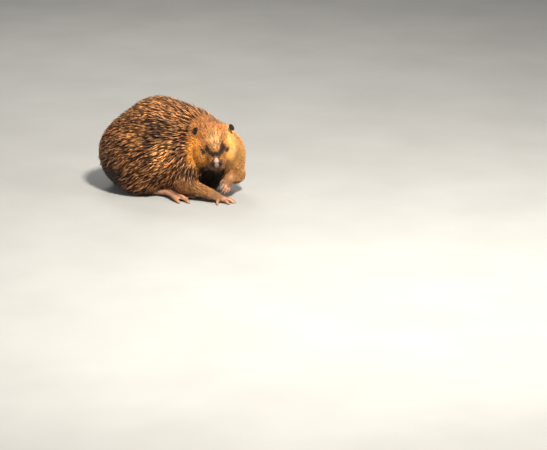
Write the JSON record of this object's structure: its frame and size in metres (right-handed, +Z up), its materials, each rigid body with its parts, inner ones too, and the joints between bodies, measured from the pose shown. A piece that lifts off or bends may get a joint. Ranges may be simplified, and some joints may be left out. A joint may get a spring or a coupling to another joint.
{
  "type": "beaver",
  "caption": "Life-size adult beaver crouched on the ground, brown coat, bowed head turned to its right, one forepaw lifted under the chin, flat scaly tail laid behind.",
  "frame": {"origin": "bottom centre of the bounding box, on the ground plane", "axes": "+Z up; +Y along the tail, from the head side of the animal to its tail tip; +X towards the side the shoulders are on, so the trunk heads 20 degrees from +X towards -Y"},
  "size_m": [0.5156, 0.6698, 0.3341],
  "materials": {
    "coat": "dense brown coat of coarse guard hair, golden on the cheeks and neck",
    "ear": "dark short-haired ear",
    "nose": "bare pebbled nose pad, slightly moist",
    "eye": "wet dark brown, mostly lidded",
    "paw_skin": "bare wrinkled pinkish-brown skin",
    "claw": "pale horn, satin",
    "tail_scale": "dark grey-brown scaly skin"
  },
  "bodies": {
    "root": {"ear_l": "ear", "ear_r": "ear", "eye_l": "eye", "eye_r": "eye", "forearm_l": "coat", "forearm_r": "coat", "foreclaw_l_1": "claw", "foreclaw_l_2": "claw", "foreclaw_l_3": "claw", "foreclaw_l_4": "claw", "foreclaw_l_5": "claw", "foreclaw_r_1": "claw", "foreclaw_r_2": "claw", "foreclaw_r_3": "claw", "foreclaw_r_4": "claw", "foreclaw_r_5": "claw", "forefoot_l": "paw_skin", "forefoot_r": "paw_skin", "haunch_l": "coat", "haunch_r": "coat", "head": "coat", "hindclaw_l_1": "claw", "hindclaw_l_2": "claw", "hindclaw_l_3": "claw", "hindclaw_l_4": "claw", "hindclaw_l_5": "claw", "hindclaw_r_1": "claw", "hindclaw_r_2": "claw", "hindclaw_r_3": "claw", "hindclaw_r_4": "claw", "hindclaw_r_5": "claw", "hindfoot_l": "paw_skin", "hindfoot_r": "paw_skin", "neck": "coat", "nose": "nose", "tail": "tail_scale", "tail_base": "coat", "trunk": "coat", "upper_arm_l": "coat", "upper_arm_r": "coat"}
  },
  "joints": []
}
